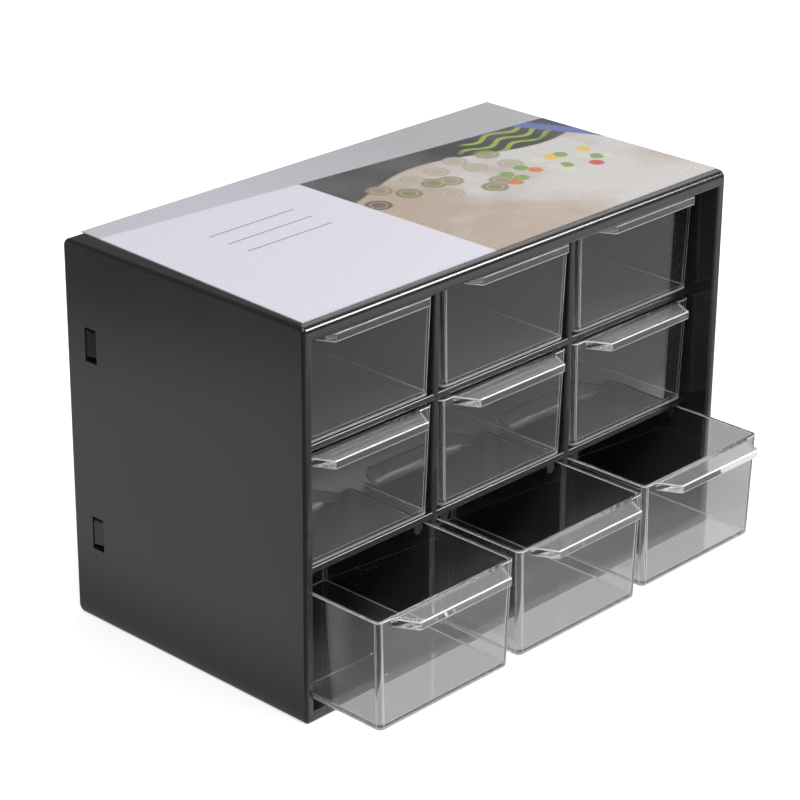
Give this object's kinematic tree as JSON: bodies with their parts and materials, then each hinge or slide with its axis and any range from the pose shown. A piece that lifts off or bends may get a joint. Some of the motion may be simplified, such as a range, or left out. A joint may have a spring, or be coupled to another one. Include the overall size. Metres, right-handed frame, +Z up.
{
  "type": "desktop mini drawers",
  "caption": "Low desktop cabinet with a grid of small clear pull-out drawers in a black moulded case, clip-in back panel and a printed card on top.",
  "frame": {"origin": "middle of the cabinet's base, on the surface it stands on", "axes": "+X to the right seen from the front, -Y out of the front, +Z up"},
  "size_m": [0.181, 0.1294, 0.1204],
  "materials": {
    "black_plastic": "moulded charcoal-black polystyrene, satin to gloss",
    "black_panel_plastic": "moulded black polystyrene, satin",
    "clear_plastic": "clear polished polystyrene",
    "printed_card": "thin coated card with a printed face"
  },
  "bodies": {
    "cabinet": {"cabinet_body": "black_plastic", "back_panel": "black_panel_plastic", "label_card": "printed_card"},
    "drawer_bottom_left": {"drawer_bottom_left": "clear_plastic"},
    "drawer_bottom_middle": {"drawer_bottom_middle": "clear_plastic"},
    "drawer_bottom_right": {"drawer_bottom_right": "clear_plastic"},
    "drawer_centre_left": {"drawer_centre_left": "clear_plastic"},
    "drawer_centre_middle": {"drawer_centre_middle": "clear_plastic"},
    "drawer_centre_right": {"drawer_centre_right": "clear_plastic"},
    "drawer_top_left": {"drawer_top_left": "clear_plastic"},
    "drawer_top_middle": {"drawer_top_middle": "clear_plastic"},
    "drawer_top_right": {"drawer_top_right": "clear_plastic"}
  },
  "joints": [
    {"name": "bottom_left_slide", "type": "slide", "parent": "cabinet", "child": "drawer_bottom_left", "axis": [0, -1, 0], "range_m": [-0.0323, 0.0387]},
    {"name": "bottom_middle_slide", "type": "slide", "parent": "cabinet", "child": "drawer_bottom_middle", "axis": [0, -1, 0], "range_m": [-0.0313, 0.0397]},
    {"name": "bottom_right_slide", "type": "slide", "parent": "cabinet", "child": "drawer_bottom_right", "axis": [0, -1, 0], "range_m": [-0.0294, 0.0416]},
    {"name": "centre_left_slide", "type": "slide", "parent": "cabinet", "child": "drawer_centre_left", "axis": [0, -1, 0], "range_m": [0, 0.071]},
    {"name": "centre_middle_slide", "type": "slide", "parent": "cabinet", "child": "drawer_centre_middle", "axis": [0, -1, 0], "range_m": [0, 0.071]},
    {"name": "centre_right_slide", "type": "slide", "parent": "cabinet", "child": "drawer_centre_right", "axis": [0, -1, 0], "range_m": [0, 0.071]},
    {"name": "top_left_slide", "type": "slide", "parent": "cabinet", "child": "drawer_top_left", "axis": [0, -1, 0], "range_m": [0, 0.071]},
    {"name": "top_middle_slide", "type": "slide", "parent": "cabinet", "child": "drawer_top_middle", "axis": [0, -1, 0], "range_m": [0, 0.071]},
    {"name": "top_right_slide", "type": "slide", "parent": "cabinet", "child": "drawer_top_right", "axis": [0, -1, 0], "range_m": [0, 0.071]}
  ]
}
